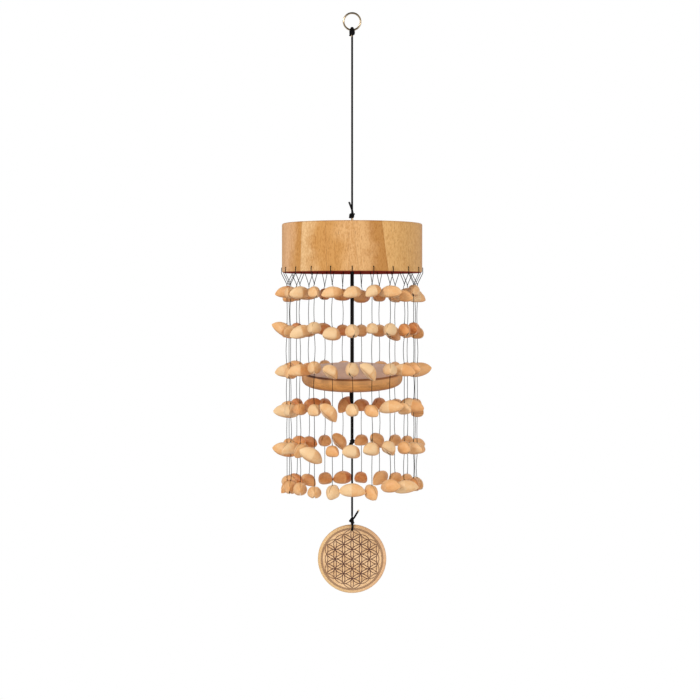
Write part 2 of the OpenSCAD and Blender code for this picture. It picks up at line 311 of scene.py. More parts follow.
def wood_group():
    """Wood grain that runs along Z of its vector: fine fibres, growth rings, flecks and short dark pores."""
    _, (place, pale, dark, ring_share, fleck_share), out = new_group(
        "ShaderNodeTree", "Wood grain",
        [("Vector", "Vector"), ("Pale", "Color", (0.7, 0.5, 0.3, 1)), ("Dark", "Color", (0.4, 0.2, 0.1, 1)),
         ("Rings", "Float", 1.0), ("Flecks", "Float", 0.4)], [("Colour", "Color"), ("Height", "Float")])
    long = place.vector("MULTIPLY", (1, 1, 0.07))
    rings = calc("SINE", noise(long, 34, 2) * 60) * ring_share
    fibres = noise(long, 900, 3, 0.7)
    pores = noise(long, 1500, 1).spread(0.66, 0.76)
    flecks = noise(place.vector("MULTIPLY", (1, 1, 0.45)), 560, 2, 0.6).spread(0.32, 0.68, -0.5, 0.5)
    share = rings * 0.11 + fibres.spread(0.25, 0.75, -0.28, 0.56)
    share = share + noise(long, 60, 2).spread(0.3, 0.7, 0.0, 0.5) + flecks * fleck_share
    feed(out["Colour"], layered(blend(share, pale, dark), (pores * 0.6, (0.14, 0.05, 0.02))))
    feed(out["Height"], fibres * 0.4 - pores)


def braid_group():
    """Braid of a cord, from a UV map whose U runs round the cord and V along it."""
    _, (uv, strands), out = new_group(
        "ShaderNodeTree", "Cord braid", [("UV", "Vector"), ("Strands", "Float", 6.0)],
        [("Mask", "Float"), ("Height", "Float")])
    turns, along = (part * strands for part in uv.parts()[:2])
    height = abs(calc("SINE", (turns + along) * math.pi) * calc("SINE", (turns - along) * math.pi))
    # The mask darkens the grooves between the strands: painted shade.
    feed(out["Mask"], height.spread(0.05, 0.7))
    feed(out["Height"], height)


# Materials

def new_material(name, **inputs):
    """A material with only its Principled shader: its tree and the shader's inputs."""
    material = bpy.data.materials.new(name)
    material.use_nodes = True
    surface = material.node_tree.nodes["Principled BSDF"].inputs
    for key, value in inputs.items():
        feed(surface[key.replace("_", " ")], value)
    return material.node_tree, surface


def dress(surface, colour, relief=None, strength=0.2, depth=0.2 * MM):
    """Gives a material its colour and, where there is one, its relief."""
    feed(surface["Base Color"], colour)
    if relief:
        feed(surface["Normal"], result(relief.tree, "ShaderNodeBump",
                                       {"Height": relief, "Strength": strength, "Distance": depth}))


def wood_material(name, roughness, shift, turn, **inputs):
    """Varnished wood. A shift and a turn say where in the plank it lies and how its grain runs."""
    tree, surface = new_material(name, Roughness=roughness)
    plank = result(tree, "ShaderNodeMapping",
                   {"Vector": object_place(tree), "Location": shift, "Rotation": turn})
    grain, relief = placed_group(tree, "Wood grain", Vector=plank, **inputs)
    dress(surface, grain, relief, 0.25)
    return tree, surface, grain


def bar_material():
    """Plain wood of the hidden crossbar."""
    wood_material("Bar wood", 0.6, (0.1, 0.6, 0.3), (0.2, 1.0, 1.0), Pale=(0.55, 0.33, 0.18),
                  Dark=(0.38, 0.20, 0.10), Rings=0.8)


def stave_material(colours):
    """Wall of glued staves, each with its own tones, a thin seam, and a dark red-brown inside and underside
    that is partly a stain and partly painted shade.
    """
    tree, surface = new_material("Stave wood", Roughness=0.42, Specular_IOR_Level=0.13)
    place = object_place(tree)
    x, y, z = place.parts()
    around = calc("ARCTAN2", x, y * -1)
    slope = calc("SINE", around * 2 + 0.6) * 1.1 + 0.4
    around = around - slope * ((DRUM_LOW.z + DRUM_HIGH.z) / 2 - z)
    count = len(STAVES)
    turns = calc("FLOORED_MODULO", (around - FIRST_SEAM) * (count / (2 * math.pi)), count)
    index, share = calc("FLOOR", turns), calc("FRACT", turns)
    left, right = (tone_ramp((index + 0.5) / count, [
        (number / count, getattr(colours, "stave_" + tones[half])) for number, tones in enumerate(STAVES)
    ], "CONSTANT") for half in (0, 1))
    plank = place.vector("ADD", joined(tree, 0, 0, index * 0.731))
    grain, relief = placed_group(tree, "Wood grain", Vector=plank, Pale=(1, 1, 1), Dark=(0.80, 0.70, 0.58),
                                 Rings=0.7, Flecks=1.0)
    across = (share + noise(plank, 26, 2).spread(0.3, 0.7, -0.18, 0.18)).spread(0.2, 0.85)
    colour = blend(1.0, blend(across, left, right), grain, "MULTIPLY")
    seam = abs(share - 0.5).spread(0.486, 0.499, 0.0, 0.2)
    top_edge = (DRUM_HIGH.z - z).spread(0.5 * MM, 2.4 * MM, 0.35, 0.0)
    # Inside and underside: dark red-brown, partly a stain and partly painted shade.
    inside = far_out(x, y).spread(DRUM_HIGH.x - 13.5 * MM, DRUM_HIGH.x - 11.5 * MM, 1.0, 0.0)
    under = (z - DRUM_LOW.z).spread(0.3 * MM, 1.3 * MM, 1.0, 0.0)
    stain_and_shade = calc("MAXIMUM", inside, under) * 0.97
    colour = layered(colour, (seam, (0.16, 0.07, 0.03)), (top_edge, (0.25, 0.10, 0.03)),
                     (stain_and_shade, colours.drum_inside))
    feed(surface["Roughness"], stain_and_shade.spread(0.0, 0.93, 0.42, 0.9))
    dress(surface, colour, relief)


def striker_material(colours):
    """Turned wood: golden side, pinkish top, and a thin dark line of painted shade along the top edge. The
    side has painted light: paler above, darker below and underneath.
    """
    tree, surface = new_material("Striker wood", Roughness=0.42, Specular_IOR_Level=0.35)
    centre = joint_place("striker_turn")
    level = result(tree, "ShaderNodeVectorRotate",
                   {"Vector": object_place(tree), "Center": (0, 0, centre.z), "Axis": (1, 0, 0),
                    "Angle": -STRIKER_LEAN}, rotation_type="AXIS_ANGLE")
    x, y, z = level.parts()
    dark = [0.58 * part for part in colours.striker_side]
    grain, relief = placed_group(tree, "Wood grain", Vector=joined(tree, y, z * 2.4, x),
                                 Pale=colours.striker_side, Dark=dark, Rings=1.7, Flecks=0.3)
    height = z - centre.z
    # Painted light on the side: paler and more golden upwards as a painted highlight, darker downwards as
    # painted shade.
    side = layered(grain, (height.spread(-1 * MM, 5 * MM, 0.0, 0.45), (0.80, 0.42, 0.17)),
                   (height.spread(-8 * MM, 1 * MM, 0.4, 0.0), (0.42, 0.15, 0.025)))
    face = blend(0.75, grain, colours.striker_top)
    top = height.spread(STRIKER_HALF - 0.8 * MM, STRIKER_HALF - 0.1 * MM)
    # Painted shade: a dark line along the top edge, darkest on the left and fading to the right.
    line = (height.spread(STRIKER_HALF - 3.4 * MM, STRIKER_HALF - 2.0 * MM)
            * far_out(x, y).spread(70.3 * MM, 70.9 * MM))
    edge_shade_tint = blend(x.spread(-58 * MM, -8 * MM), (0.075, 0.014, 0.006), (0.25, 0.085, 0.022))
    # Painted shade on the underside.
    under = height.spread(-STRIKER_HALF - 0.5 * MM, -STRIKER_HALF + 6 * MM, 0.55, 0.0)
    dress(surface, layered(side, (top, face), (line * 0.94, edge_shade_tint), (under, (0.22, 0.06, 0.02))), relief)


def shell_material(colours):
    """Dry polished nut shell, pale to russet by its own tone, darker inside and pale along its lips, with
    painted light: a paler half, a painted highlight along the ridge, and painted shade underneath and above
    the lips.
    """
    tree, surface = new_material("Nut shell", Roughness=0.46, Specular_IOR_Level=0.4)
    rest, seed = attribute(tree, "rest", "Vector"), attribute(tree, "seed")
    x, y, z = rest.parts()
    place = rest.vector("ADD", joined(tree, seed, seed, seed))
    # Painted light: the half of each shell towards world -X is paler, the other half darker.
    painted_light_halves = attribute(tree, "facing") * calc("FRACT", seed).spread(0.0, 1.0, 0.16, 0.6)
    fibres = noise(place.vector("MULTIPLY", (0.35, 1.0, 1.0)), 14, 4, 0.65)
    share = attribute(tree, "tone") + x.spread(-0.04, 0.04, -0.5, 0.5) * painted_light_halves
    share = share + noise(place, 1.5, 3).spread(0.3, 0.7, -0.12, 0.12)
    share = share + fibres.spread(0.3, 0.7, -0.07, 0.07)
    share = share - abs(x).spread(0.0, 0.07, 0.12, 0.0)
    colour = tone_ramp(share, [(0.0, colours.shell_cream), (0.35, colours.shell_tan),
                               (0.7, colours.shell_orange), (1.0, colours.shell_russet)])
    # Painted shade underneath and in a band just above the lips, and a painted highlight along the ridge.
    under = z.spread(-0.8, -0.25, 0.4, 0.0)
    above_lip = abs(attribute(tree, "crease") - 0.5).spread(0.1, 0.5, 0.42, 0.0)
    specks = noise(place, 22, 2).spread(0.64, 0.72)
    suture = abs(y).spread(0.02, 0.07, 0.6, 0.0) * z.spread(0.2, 0.5)
    dress(surface, layered(colour, (under, (0.46, 0.17, 0.05)),
                           (attribute(tree, "band") * 0.3, (0.88, 0.62, 0.36)),
                           (above_lip, (0.30, 0.10, 0.03)),
                           (attribute(tree, "lip") * 0.75, (0.90, 0.68, 0.44)),
                           (specks * 0.3, (0.24, 0.10, 0.04)),
                           (suture, (0.22, 0.10, 0.04)),
                           (attribute(tree, "skin") * 0.85, colours.shell_inside)), fibres, 0.22, 0.3 * MM)


def cord_material(name, tint, strands, gloss):
    """Braided or twisted cord."""
    tree, surface = new_material(name, Roughness=0.8, Specular_IOR_Level=gloss)
    uv = result(tree, "ShaderNodeUVMap", uv_map="UVMap")
    mask, relief = placed_group(tree, "Cord braid", UV=uv, Strands=strands)
    # Darker grooves between the strands are painted shade.
    dress(surface, blend(mask, [0.35 * part for part in tint], tint), relief, 0.7, 0.25 * MM)


def end_material():
    """Beige melted end of a cut cord."""
    tree, surface = new_material("Melted cord end", Roughness=0.4)
    dress(surface, blend(noise(object_place(tree), 900, 2), (0.55, 0.38, 0.20), (0.80, 0.66, 0.46)))


def metal_material(colours):
    """Polished, slightly tarnished brass wire."""
    tree, surface = new_material("Ring brass", Roughness=0.2, Metallic=1.0)
    cloud = noise(object_place(tree), 240, 4)
    feed(surface["Roughness"], cloud.spread(0.3, 0.8, 0.14, 0.34))
    dress(surface, blend(cloud.spread(0.45, 0.75), colours.ring_metal, (0.22, 0.13, 0.06)))


def wind_material(colours):
    """Light wood with dark burnt lines where the grooves are."""
    tree, surface, grain = wood_material("Wind disc wood", 0.5, (0.31, 0.12, 0.4), (1.0, 1.0, 0.5),
                                         Pale=(0.83, 0.55, 0.30), Dark=(0.62, 0.35, 0.15), Rings=0.7)
    x, y, z = object_place(tree).parts()
    radius = far_out(x, z - WIND_MIDDLE.z)
    # Painted light on the rounded rim: yellower on the left, redder and darker on the right.
    rim_painted_light = blend(x.spread(-20 * MM, 40 * MM), (0.66, 0.43, 0.17), (0.70, 0.38, 0.20))
    front = y.spread(WIND_LOW.y + 0.6 * MM, WIND_LOW.y + 0.9 * MM, 1.0, 0.0)
    half = (BAND[1] - BAND[0]) / 2 * MM
    off_band = abs(radius - (BAND[0] + BAND[1]) / 2 * MM)
    band = off_band.spread(half - 0.4 * MM, half, 0.75, 0.0) * front
    band_edge = abs(off_band - (half - 0.3 * MM)).spread(0.1 * MM, 0.5 * MM, 0.55, 0.0)
    width = colours.line_w / MM / 2
    line = (attribute(tree, "groove").spread(width - 0.12, width + 0.14, 1.0, 0.0)
            * radius.spread(30 * MM, 41 * MM, 1.0, 0.8))
    burnt = calc("MAXIMUM", line, band_edge) * front
    dress(surface, layered(grain, (radius.spread(44 * MM, 46 * MM, 0.0, 0.5), rim_painted_light),
                           (band, colours.wind_band), (burnt, colours.wind_line)))


# Meshes

def linked(name, data):
    """A new object of some data, linked to the scene."""
    made = bpy.data.objects.new(name, data)
    bpy.context.scene.collection.objects.link(made)
    return made


def mesh_object(name, points, faces=(), edges=(), **layers):
    """A new smooth object, with whole numbers, numbers or vectors as attributes of its points."""
    mesh = bpy.data.meshes.new(name)
    mesh.from_pydata([tuple(point) for point in points], list(edges), [tuple(face) for face in faces])
    for key, values in layers.items():
        values = np.asarray(values)
        whole, wide = values.dtype.kind == "i", values.ndim == 2
        layer = mesh.attributes.new(key, "FLOAT_VECTOR" if wide else "INT" if whole else "FLOAT", "POINT")
        values = values.astype(np.int32 if whole else np.float32)
        layer.data.foreach_set("vector" if wide else "value", values.ravel())
    mesh.shade_smooth()
    return linked(name, mesh)


def grid_faces(rows, columns, closed=False):
    """Quads of a grid of points, row by row. A closed grid joins its ends both ways."""
    index = np.arange(rows * columns).reshape(rows, columns)
    if closed:
        index = np.pad(index, (0, 1), mode="wrap")
    return np.stack([index[:-1, :-1], index[:-1, 1:], index[1:, 1:], index[1:, :-1]], -1).reshape(-1, 4)


def coordinates(mesh):
    """A mesh's points."""
    points = np.empty(len(mesh.vertices) * 3)
    mesh.vertices.foreach_get("co", points)
    return points.reshape(-1, 3)


def length_of(route):
    """Length along a route's points."""
    return float(np.linalg.norm(np.diff(route, axis=0), axis=1).sum())


def spots(place, *points):
    """Places given in mm from another place."""
    return [np.array(place) + np.array(point) * MM for point in points]


def smooth_route(points, per_stretch=6):
    """Points of a smooth curve through the given ones."""
    points = np.asarray(points, dtype=float)
    padded = np.vstack([2 * points[0] - points[1], points, 2 * points[-1] - points[-2]])
    out = []
    for i in range(1, len(padded) - 2):
        a, b, c, d = padded[i - 1:i + 3]
        for t in np.linspace(0, 1, per_stretch, endpoint=False):
            out.append(0.5 * (2 * b + (c - a) * t + (2 * a - 5 * b + 4 * c - d) * t * t
                              + (3 * b - a - 3 * c + d) * t ** 3))
    return np.vstack([out, points[-1]])


def tube_data(route, radius, sides):
    """Points, faces and UVs of a round-ended tube. U runs round it, and V along it in its girths."""
    route = np.asarray(route, dtype=float)
    tangents = np.gradient(route, axis=0)
    tangents /= np.linalg.norm(tangents, axis=1, keepdims=True)
    normal = np.cross(tangents[0], (0.31, 0.95, 0.05))
    angles = np.arange(sides + 1) * 2 * math.pi / sides
    rings, along, walked = [], [], 0.0
    for i, (centre, tangent) in enumerate(zip(route, tangents)):
        normal = normal - tangent * np.dot(normal, tangent)
        normal /= np.linalg.norm(normal)
        across = np.cross(tangent, normal)
        walked += np.linalg.norm(centre - route[i - 1]) if i else 0.0
        stations = [(0.0, 1.0)]
        if i == 0:
            stations = ROUND_END + stations
        if i == len(route) - 1:
            stations = stations + [(-step, size) for step, size in reversed(ROUND_END)]
        for step, size in stations:
            rings.append(centre + tangent * step * radius + size * radius
                         * (np.outer(np.cos(angles), normal) + np.outer(np.sin(angles), across)))
            along.append((walked + step * radius) / (2 * math.pi * radius))
    uvs = [(j / sides, at) for at in along for j in range(sides + 1)]
    return np.vstack(rings), grid_faces(len(rings), sides + 1), uvs


def tube_object(name, tubes, materials, sides=12):
    """One object of several tubes, each given as route, radius and material number."""
    points, faces, uvs, slots = [], [], [], []
    for route, radius, slot in tubes:
        more, quads, places = tube_data(route, radius, sides)
        faces.extend((quads + len(points)).tolist())
        points.extend(more)
        uvs.extend(places)
        slots.extend([slot] * len(quads))
    made = mesh_object(name, points, faces)
    corners = np.empty(len(made.data.loops), dtype=int)
    made.data.loops.foreach_get("vertex_index", corners)
    made.data.uv_layers.new(name="UVMap").data.foreach_set("uv", np.asarray(uvs)[corners].ravel())
    for material in materials[:max(slots) + 1]:
        made.data.materials.append(bpy.data.materials[material])
    made.data.polygons.foreach_set("material_index", slots)
    return made


def tight_knot():
    """Route of a pulled overhand knot, in cord diameters, with its ends on the Z axis."""
    count, steps, half, extra = 96, 500, 4.9, 10.0
    t = np.linspace(-2.15, 2.15, count)
    route = np.stack([0.45 * (t ** 3 - 3 * t), 0.4 * (t ** 4 - 4 * t ** 2 + 2), 0.2 * (t ** 5 - 10 * t)], 1)
    first = route[[0, -1]].copy()
    goal = np.array([[0, 0, np.sign(route[0, 2]) * half], [0, 0, np.sign(route[-1, 2]) * half]])
    long = length_of(route)
    one, two = np.triu_indices(count, 1)
    for step in range(steps):
        pulled = min(1, step / (0.6 * steps))
        link = (long + (2 * half + extra - long) * pulled) / (count - 1)
        ends = first + (goal - first) * min(1, step / (0.3 * steps))
        far = (two - one) * link > 1.7
        a, b = one[far], two[far]
        for _ in range(3):
            offset = route[b] - route[a]
            apart = np.linalg.norm(offset, axis=1)
            close = apart < 1
            push = offset[close] / apart[close, None] * ((1 - apart[close]) * 0.25)[:, None]
            np.add.at(route, b[close], push)
            np.add.at(route, a[close], -push)
            for parity in (0, 1):
                left, right = route[parity:-1:2], route[parity + 1::2]
                offset = right - left
                apart = np.linalg.norm(offset, axis=1, keepdims=True)
                change = offset * (0.5 * (1 - link / apart))
                left += change
                right -= change
            route[1:-1] += 0.06 * ((route[:-2] + route[2:]) / 2 - route[1:-1])
            route[[0, -1]] = ends
    return route if route[0, 2] > route[-1, 2] else route[::-1]


KNOT = tight_knot()


def knot_tube(place, diameter, turn, offset=(0, 0, 0), keep=(0, 0), body=2.0):
    """A tied knot as a tube, in mm from a place. Keep says how much of its upper and lower end is left."""
    reach = abs(KNOT[0, 2])
    high, low = (body + (reach - body) * share for share in keep)
    route = KNOT[(KNOT[:, 2] <= high) & (KNOT[:, 2] >= -low)]
    turned = route @ np.array(Euler(turn).to_matrix().transposed())
    return turned * diameter * MM + spots(place, offset)[0], diameter / 2 * MM, 0


def curved_tube(place, radius, *points):
    """A smooth tube through points in mm from a place."""
    return smooth_route(spots(place, *points)), radius * MM, 0


def straight_tube(place, radius, start, end, count=5, slot=0):
    """A straight tube between two points in mm from a place."""
    return np.linspace(*spots(place, start, end), count), radius * MM, slot


def string_knot(diameter):
    """A small lumpy knot of string."""
    grid = bmesh.new()
    bmesh.ops.create_icosphere(grid, subdivisions=2, radius=diameter / 2)
    for vert in grid.verts:
        turn = math.atan2(vert.co.y, vert.co.x)
        vert.co *= 0.94 + 0.08 * math.sin(3 * turn + 5 * vert.co.z / diameter)
    mesh = bpy.data.meshes.new("string_knot")
    grid.to_mesh(mesh)
    grid.free()
    mesh.shade_smooth()
    return linked("string_knot", mesh)


# Pieces

def sizes():
    """The scene's chime settings."""
    return bpy.context.scene.chime_sizes


def placed(piece, body, node):
    """Rides a piece on its body and hides the node it stands for."""
    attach(piece, body)
    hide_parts(node)
    return piece


def settled(source, name):
    """A source object's mesh with its modifiers applied. The source is removed."""
    graph = bpy.context.evaluated_depsgraph_get()
    mesh = bpy.data.meshes.new_from_object(source.evaluated_get(graph), depsgraph=graph)
    mesh.name = name
    source.modifiers.clear()
    bpy.data.objects.remove(source)
    return mesh


def grown(source, tree, inputs, name, body, node):
    """Grows a Geometry Nodes tree on a source object and keeps the result as a plain piece."""
    modifier = source.modifiers.new("Growth", "NODES")
    modifier.node_group = tree
    sockets = {item.name: item.identifier for item in tree.interface.items_tree
               if item.item_type == "SOCKET" and item.in_out == "INPUT"}
    for key, value in inputs.items():
        modifier[sockets[key]] = value
    return placed(linked(name, settled(source, name)), body, node)


def end_tree(group, made, material, out):
    """Ends a Geometry Nodes tree: its instances are realized and given their material."""
    real = result(group, "GeometryNodeRealizeInstances", {0: made})
    feed(out[0], result(group, "GeometryNodeSetMaterial", {"Geometry": real, "Material": material}))
    return group


def instances_group():
    """Sets a collection's pieces on points, each by the point's style, turn and size."""
    group, (points, pieces, scale, material), out = new_group(
        "GeometryNodeTree", "Pieces on points",
        [("Geometry", "Geometry"), ("Pieces", "Collection"), ("Scale", "Float"), ("Material", "Material")],
        [("Geometry", "Geometry")])
    choice = result(group, "GeometryNodeCollectionInfo",
                    {"Collection": pieces, "Separate Children": True, "Reset Children": True})
    turn, size, style = (
        result(group, "GeometryNodeInputNamedAttribute", {"Name": name}, data_type=kind)
        for name, kind in (("turn", "FLOAT_VECTOR"), ("size", "FLOAT"), ("style", "INT")))
    rotation = result(group, "FunctionNodeEulerToRotation", {0: turn})
    made = result(group, "GeometryNodeInstanceOnPoints",
                  {"Points": points, "Instance": choice, "Pick Instance": True, "Instance Index": style,
                   "Rotation": rotation, "Scale": size * scale})
    return end_tree(group, made, material, out)


def loops_group():
    """Threads a route round a ring: the route's tube is repeated at equal steps round Z."""
    group, (route, count, radius, material), out = new_group(
        "GeometryNodeTree", "Thread round a ring",
        [("Geometry", "Geometry"), ("Count", "Int"), ("Thread Radius", "Float"), ("Material", "Material")],
        [("Geometry", "Geometry")])
    curve = result(group, "GeometryNodeMeshToCurve", {0: route})
    profile = result(group, "GeometryNodeCurvePrimitiveCircle", {"Resolution": 8, "Radius": radius})
    tube = result(group, "GeometryNodeCurveToMesh",
                  {"Curve": curve, "Profile Curve": profile, "Fill Caps": True})
    smooth = result(group, "GeometryNodeSetShadeSmooth", {0: tube})
    row = result(group, "GeometryNodeMeshLine", {"Count": count, "Offset": (0, 0, 0)}, mode="OFFSET")
    angle = result(group, "GeometryNodeInputIndex") * calc("DIVIDE", 2 * math.pi, count)
    turn = result(group, "FunctionNodeEulerToRotation", {0: joined(group, 0, 0, angle)})
    made = result(group, "GeometryNodeInstanceOnPoints",
                  {"Points": row, "Instance": smooth, "Rotation": turn})
    return end_tree(group, made, material, out)


def stock(name, pieces):
    """A collection of pieces to set on points, kept out of the scene."""
    collection = bpy.data.collections.new(name)
    for piece in pieces:
        bpy.context.scene.collection.objects.unlink(piece)
        collection.objects.link(piece)
    return collection


def clear_stock(collection):
    """Removes a stock of pieces."""
    for piece in list(collection.objects):
        bpy.data.objects.remove(piece)
    bpy.data.collections.remove(collection)


def set_on_points(places, layers, pieces, material, scale, name, body, node):
    """Sets a stock's pieces on points and keeps them as one piece."""
    tree = bpy.data.node_groups.get("Pieces on points") or instances_group()
    source = mesh_object(f"{name}_places", places, **layers)
    inputs = {"Pieces": pieces, "Scale": scale, "Material": bpy.data.materials[material]}
    return grown(source, tree, inputs, name, body, node)


# Nut shells

def shell_skin(style, wall, u, phi, half_l, half_d):
    """Points of a shell's skin, wall deep under its outside, and its ridge. The long axis runs along X."""
    crease = 0.02
    near = np.sqrt(u * u + crease * crease) - crease
    shrink = 1 - wall / half_d
    top = half_d * shrink * np.maximum(1 - 0.1 * near - 0.9 * np.abs(u) ** 2.4, 0) ** style["full"]
    low = (style["low"] - wall) * np.maximum(1 - np.abs(u) ** 2.2, 0) ** 0.75
    wide = (style["wide"] - wall) * np.maximum(1 - 0.70 * near - 0.30 * near ** 3, 0)
    wide = wide * np.maximum(1 - np.abs(u) ** 6, 0) ** 0.5
    open_end = np.clip((u + 0.5) / 0.6, 0, 1)
    opening = 0.14 + 0.86 * open_end ** 2 * (3 - 2 * open_end)
    slit = 1.45 * np.maximum(1 - np.abs(u) ** 3, 0) ** 0.6 * opening
    slit = np.minimum(slit, wide)
    angle = np.abs(phi)
    upper = angle <= math.pi / 2
    under = np.maximum(angle - math.pi / 2, 0)
    y = np.where(upper, wide * np.sin(angle) ** 0.92, slit + (wide - slit) * np.cos(under) ** 0.95)
    z = np.where(upper, top * np.cos(angle), -low * np.sin(under))
    ridge = np.exp(-((angle - SHELL_RIDGE) / 0.10) ** 2) * (1 - u ** 4)
    swell = 1 + (0.028 * ridge if wall == 0 else 0)
    swell = swell + 0.007 * np.sin(5 * u + 3 * phi + style["bend"] * 9)
    swell = swell + 0.005 * np.sin(9 * u - 4 * phi + style["low"])
    y = y * swell * np.sign(phi)
    z = z * swell - style["tip"] * u * u + style["bend"] * u ** 3
    return np.stack([(half_l - 1.4 * wall) * u, y, z], -1), ridge


def shell_object(number, style, half_l, half_d, wall):
    """One hollow shell with a slit below and rounded lips, and the attributes its material reads."""
    along = np.sin(np.linspace(-math.pi / 2, math.pi / 2, 41))
    half_turn = math.pi * np.linspace(0, 1, 18)
    u, phi = np.meshgrid(along, np.concatenate([half_turn - math.pi, half_turn[1:]]), indexing="ij")
    outer, ridge = shell_skin(style, 0.0, u, phi, half_l, half_d)
    inner, _ = shell_skin(style, wall, u, phi, half_l, half_d)
    inner[..., 1] = np.where(np.abs(phi) > math.pi - 0.01, outer[..., 1], inner[..., 1])
    points = np.concatenate([outer.reshape(-1, 3), inner.reshape(-1, 3)])
    rows, columns = u.shape
    second = rows * columns
    quads = grid_faces(rows, columns)
    faces = quads[:, [0, 3, 2, 1]].tolist() + (quads[:, [1, 2, 3, 0]] + second).tolist()
    for i in range(rows - 1):
        left, right = i * columns, i * columns + columns - 1
        faces.append((left, second + left, second + left + columns, left + columns))
        faces.append((right + columns, second + right + columns, second + right, right))
    to_slit = math.pi - np.abs(phi).ravel()
    lip, crease = (np.clip((reach - to_slit) / soft, 0, 1) for reach, soft in ((0.32, 0.3), (0.62, 0.4)))
    inside = 1 - 0.6 * np.clip((0.12 - to_slit) / 0.1, 0, 1)
    bare = np.zeros(second)
    made = mesh_object(f"shell_style_{number}", points * MM, faces, rest=points / 10,
                       skin=np.concatenate([bare, inside]), lip=np.concatenate([lip, lip]),
                       crease=np.concatenate([crease, crease]), band=np.concatenate([ridge.ravel(), bare]))
    grid = bmesh.new()
    grid.from_mesh(made.data)
    bmesh.ops.remove_doubles(grid, verts=grid.verts, dist=0.004 * MM)
    bmesh.ops.recalc_face_normals(grid, faces=grid.faces)
    grid.to_mesh(made.data)
    grid.free()
    return made


def shell_places(node):
    """Middle, turn, length and upward direction of each shell in a CAD node, from the highest down."""
    points = coordinates(frame["nodes"][node].data)
    points = points[np.argsort(-points[:, 2])]
    cuts = np.nonzero(-np.diff(points[:, 2]) > SHELL_GAP)[0] + 1
    found = []
    for cluster in np.split(points, cuts):
        one = cluster[np.argmax(np.linalg.norm(cluster - cluster.mean(0), axis=1))]
        two = cluster[np.argmax(np.linalg.norm(cluster - one, axis=1))]
        long = Vector(two - one)
        if long.x < 0:
            long = -long
        axis = long.normalized()
        up = (Vector((0, 0, 1)) - axis * axis.z).normalized()
        turn = Matrix((axis, up.cross(axis), up)).transposed().to_euler()
        found.append((Vector((one + two) / 2), turn, long.length, up))
    if len(found) != ROWS:
        raise RuntimeError(f"{node} has {len(found)} shells, not {ROWS}")
    return found


# Settings

def length_setting(label, about, value, low, high):
    """A length setting, given in mm."""
    return FloatProperty(name=label, description=about, default=value * MM, min=low * MM, max=high * MM,
                         unit="LENGTH", precision=4)


def colour_setting(label, about, *value):
    """A colour setting."""
    return FloatVectorProperty(name=label, description=about, default=value, min=0, max=1, subtype="COLOR")


class ChimeSizes(bpy.types.PropertyGroup):
    """Sizes and colours of the chime's visible pieces."""

    cord_d: length_setting("Cord diameter", "Thickness of the black braided cord", 2.9, 1, 4)
    ring_wire: length_setting("Ring wire", "Thickness of the hanging ring's wire", 2.75, 1, 4)
    knot_cord_d: length_setting("Pulled cord diameter", "Thickness of the cord in a tight knot", 2.4, 1, 3)
    string_d: length_setting("String diameter", "Thickness of the shells' strings", 0.88, 0.4, 1.2)
    bead_d: length_setting("String knot diameter", "Thickness of the knots in the strings", 2, 1, 3)
    shell_l: length_setting("Shell length", "Length of a full-sized shell from tip to tip", 34, 25, 40)
    shell_h: length_setting("Shell height", "Twice a full-sized shell's height over its tips", 19.6, 15, 24)
    shell_wall: length_setting("Shell wall", "Thickness of a shell's wall", 1.5, 0.8, 3)
    petal_r: length_setting("Pattern circle radius", "Radius of each engraved circle", 14.05, 8, 16)
    line_w: length_setting("Engraved line width", "Width of the engraved lines", 1.15, 0.4, 2)
    shell_cream: colour_setting("Cream shell", "Palest shell colour", 0.80, 0.54, 0.288)
    shell_tan: colour_setting("Tan shell", "Usual shell colour", 0.765, 0.415, 0.170)
    shell_orange: colour_setting("Orange shell", "Warm shell colour", 0.71, 0.335, 0.115)
    shell_russet: colour_setting("Russet shell", "Darkest shell colour", 0.57, 0.185, 0.045)
    shell_inside: colour_setting("Shell inside", "Colour inside a shell", 0.16, 0.07, 0.035)
    stave_pale: colour_setting("Pale stave", "Colour of the palest staves", 0.77, 0.50, 0.25)
    stave_tan: colour_setting("Tan stave", "Colour of the tan staves", 0.72, 0.415, 0.155)
    stave_gold: colour_setting("Golden stave", "Colour of the golden brown staves", 0.57, 0.285, 0.085)
    stave_peach: colour_setting("Peach stave", "Colour of the peach staves", 0.70, 0.405, 0.175)
    stave_pink: colour_setting("Pink stave", "Colour of the pinkish staves", 0.70, 0.405, 0.20)
    stave_brown: colour_setting("Brown stave", "Colour of the darkest staves", 0.50, 0.23, 0.058)
    striker_side: colour_setting("Striker side", "Colour of the striker's side", 0.71, 0.33, 0.095)
    striker_top: colour_setting("Striker top", "Colour of the striker's flat top", 0.50, 0.275, 0.18)
    # Laid inside the wooden ring and on its underside, where it is partly a stain and partly painted shade.
    drum_inside: colour_setting("Ring inside", "Colour inside the wooden ring", 0.19, 0.010, 0.007)
    cord_black: colour_setting("Cord", "Colour of the braided cord", 0.010, 0.0095, 0.010)
    string_tint: colour_setting("String", "Colour of the strings", 0.02, 0.017, 0.015)
    ring_metal: colour_setting("Ring metal", "Colour of the metal hanging ring", 0.50, 0.40, 0.27)
    wind_line: colour_setting("Engraved line", "Colour of the burnt lines", 0.105, 0.036, 0.020)
    wind_band: colour_setting("Engraved ring", "Colour of the burnt outer ring", 0.26, 0.13, 0.065)


# Operators

class CHIME_OT_camera(bpy.types.Operator):
    """Sets up the camera as the photograph was taken."""

    bl_idname = "chime.camera"
    bl_label = "Camera"

    def execute(self, context):
        """Adds the camera and makes it the scene's."""
        data = bpy.data.cameras.new("Camera")
        data.lens = LENS
        data.sensor_width = SENSOR
        data.clip_end = CAMERA_REACH
        camera = linked("Camera", data)
        camera.location = CAMERA_PLACE
        camera.rotation_euler = (CAMERA_TILT, 0, 0)
        context.scene.camera = camera
        return {"FINISHED"}


